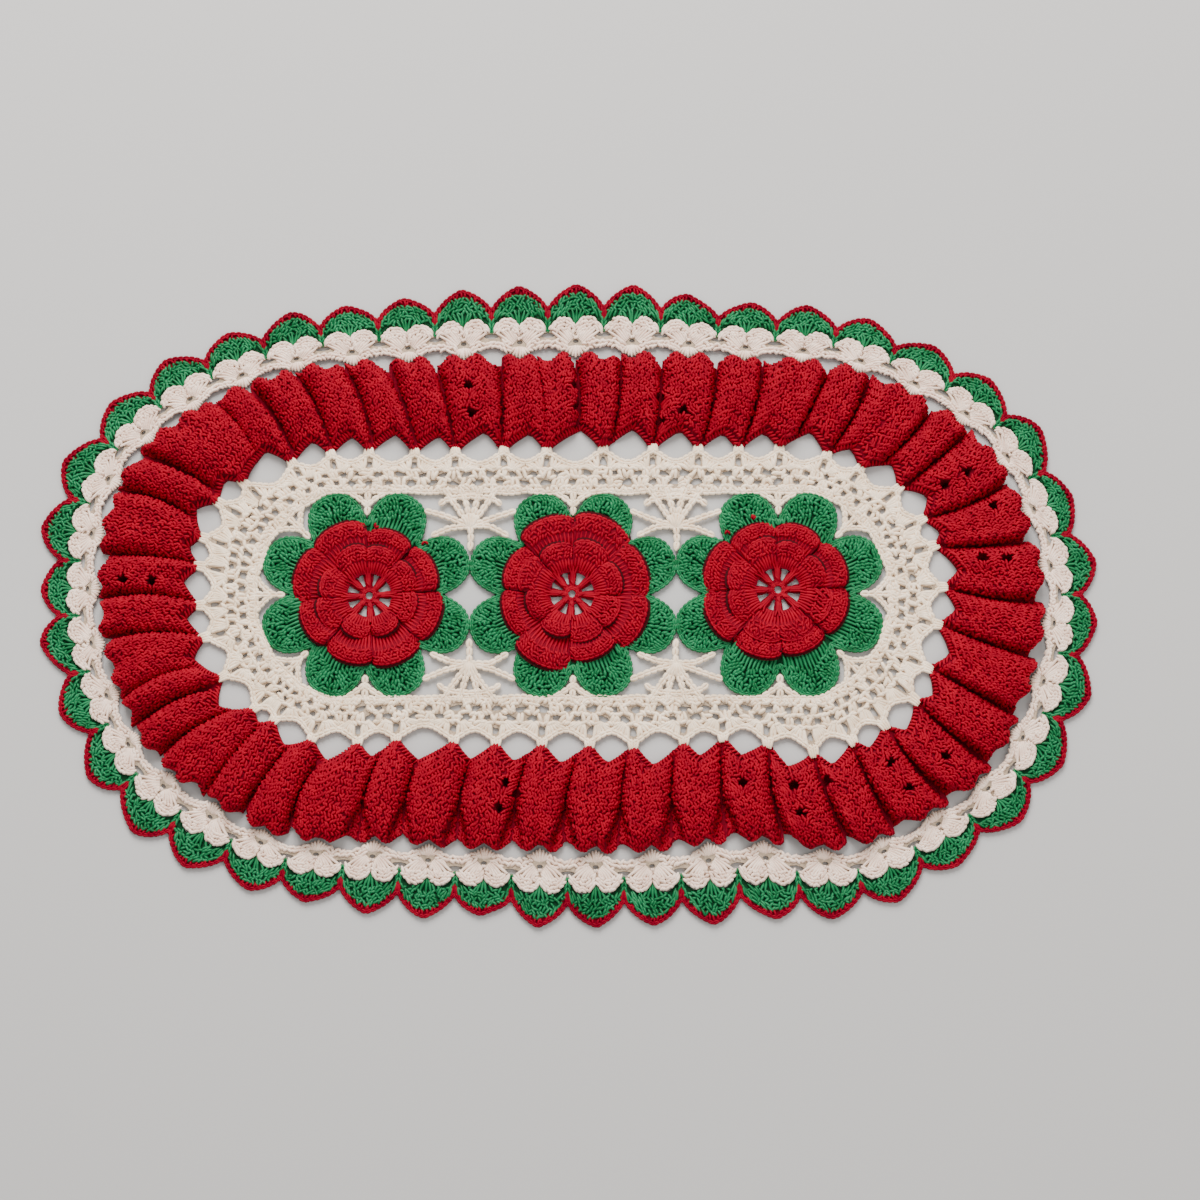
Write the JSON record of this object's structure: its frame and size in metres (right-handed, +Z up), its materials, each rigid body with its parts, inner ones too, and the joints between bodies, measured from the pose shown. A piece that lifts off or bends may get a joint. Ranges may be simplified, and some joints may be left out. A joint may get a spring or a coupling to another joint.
{
  "type": "lace doily",
  "caption": "Flat oval crochet lace doily with raised roses on leaves, a folded ruffle ring and a scalloped border.",
  "frame": {"origin": "middle of the doily's underside, on the surface that it lies on", "axes": "+X along the oval's length and the row of roses, +Y across it, +Z up"},
  "size_m": [0.3977, 0.2453, 0.0089],
  "materials": {
    "red_cotton": "mercerised cotton crochet thread, soft sheen",
    "green_cotton": "mercerised cotton crochet thread, soft sheen",
    "ecru_cotton": "cotton crochet thread, matte"
  },
  "bodies": {
    "root": {"rose_left": "red_cotton", "rose_middle": "red_cotton", "rose_right": "red_cotton", "leaves_left": "green_cotton", "leaves_middle": "green_cotton", "leaves_right": "green_cotton", "ground": "ecru_cotton", "ruffle": "red_cotton", "border": "ecru_cotton", "fans": "green_cotton", "edging": "red_cotton"}
  },
  "joints": []
}
